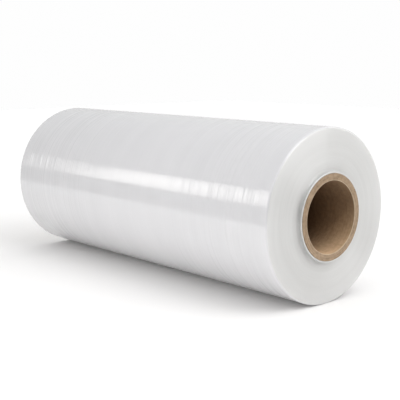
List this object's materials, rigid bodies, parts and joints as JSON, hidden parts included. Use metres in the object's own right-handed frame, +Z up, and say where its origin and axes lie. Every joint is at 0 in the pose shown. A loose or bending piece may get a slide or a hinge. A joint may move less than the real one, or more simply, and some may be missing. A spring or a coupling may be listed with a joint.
{
  "type": "stretch wrap roll",
  "caption": "Roll of clear stretch film wound tight on a paper core, lying on its side, with the core standing a little out of each end face.",
  "frame": {"origin": "middle of the flat that the roll rests on, under the middle of the roll", "axes": "+X along the roll's axis, +Z up, +Y level across the roll"},
  "size_m": [0.459, 0.185, 0.1845],
  "materials": {
    "kraft_core": "matt brown kraft paper, spiral wound, with a cut edge that shows its plies",
    "stretch_film": "clear film that looks milky white in the roll, glossy on the side with fine lines round it, satin on the end faces"
  },
  "bodies": {
    "root": {"cardboard_core": "kraft_core", "film_winding": "stretch_film"}
  },
  "joints": []
}
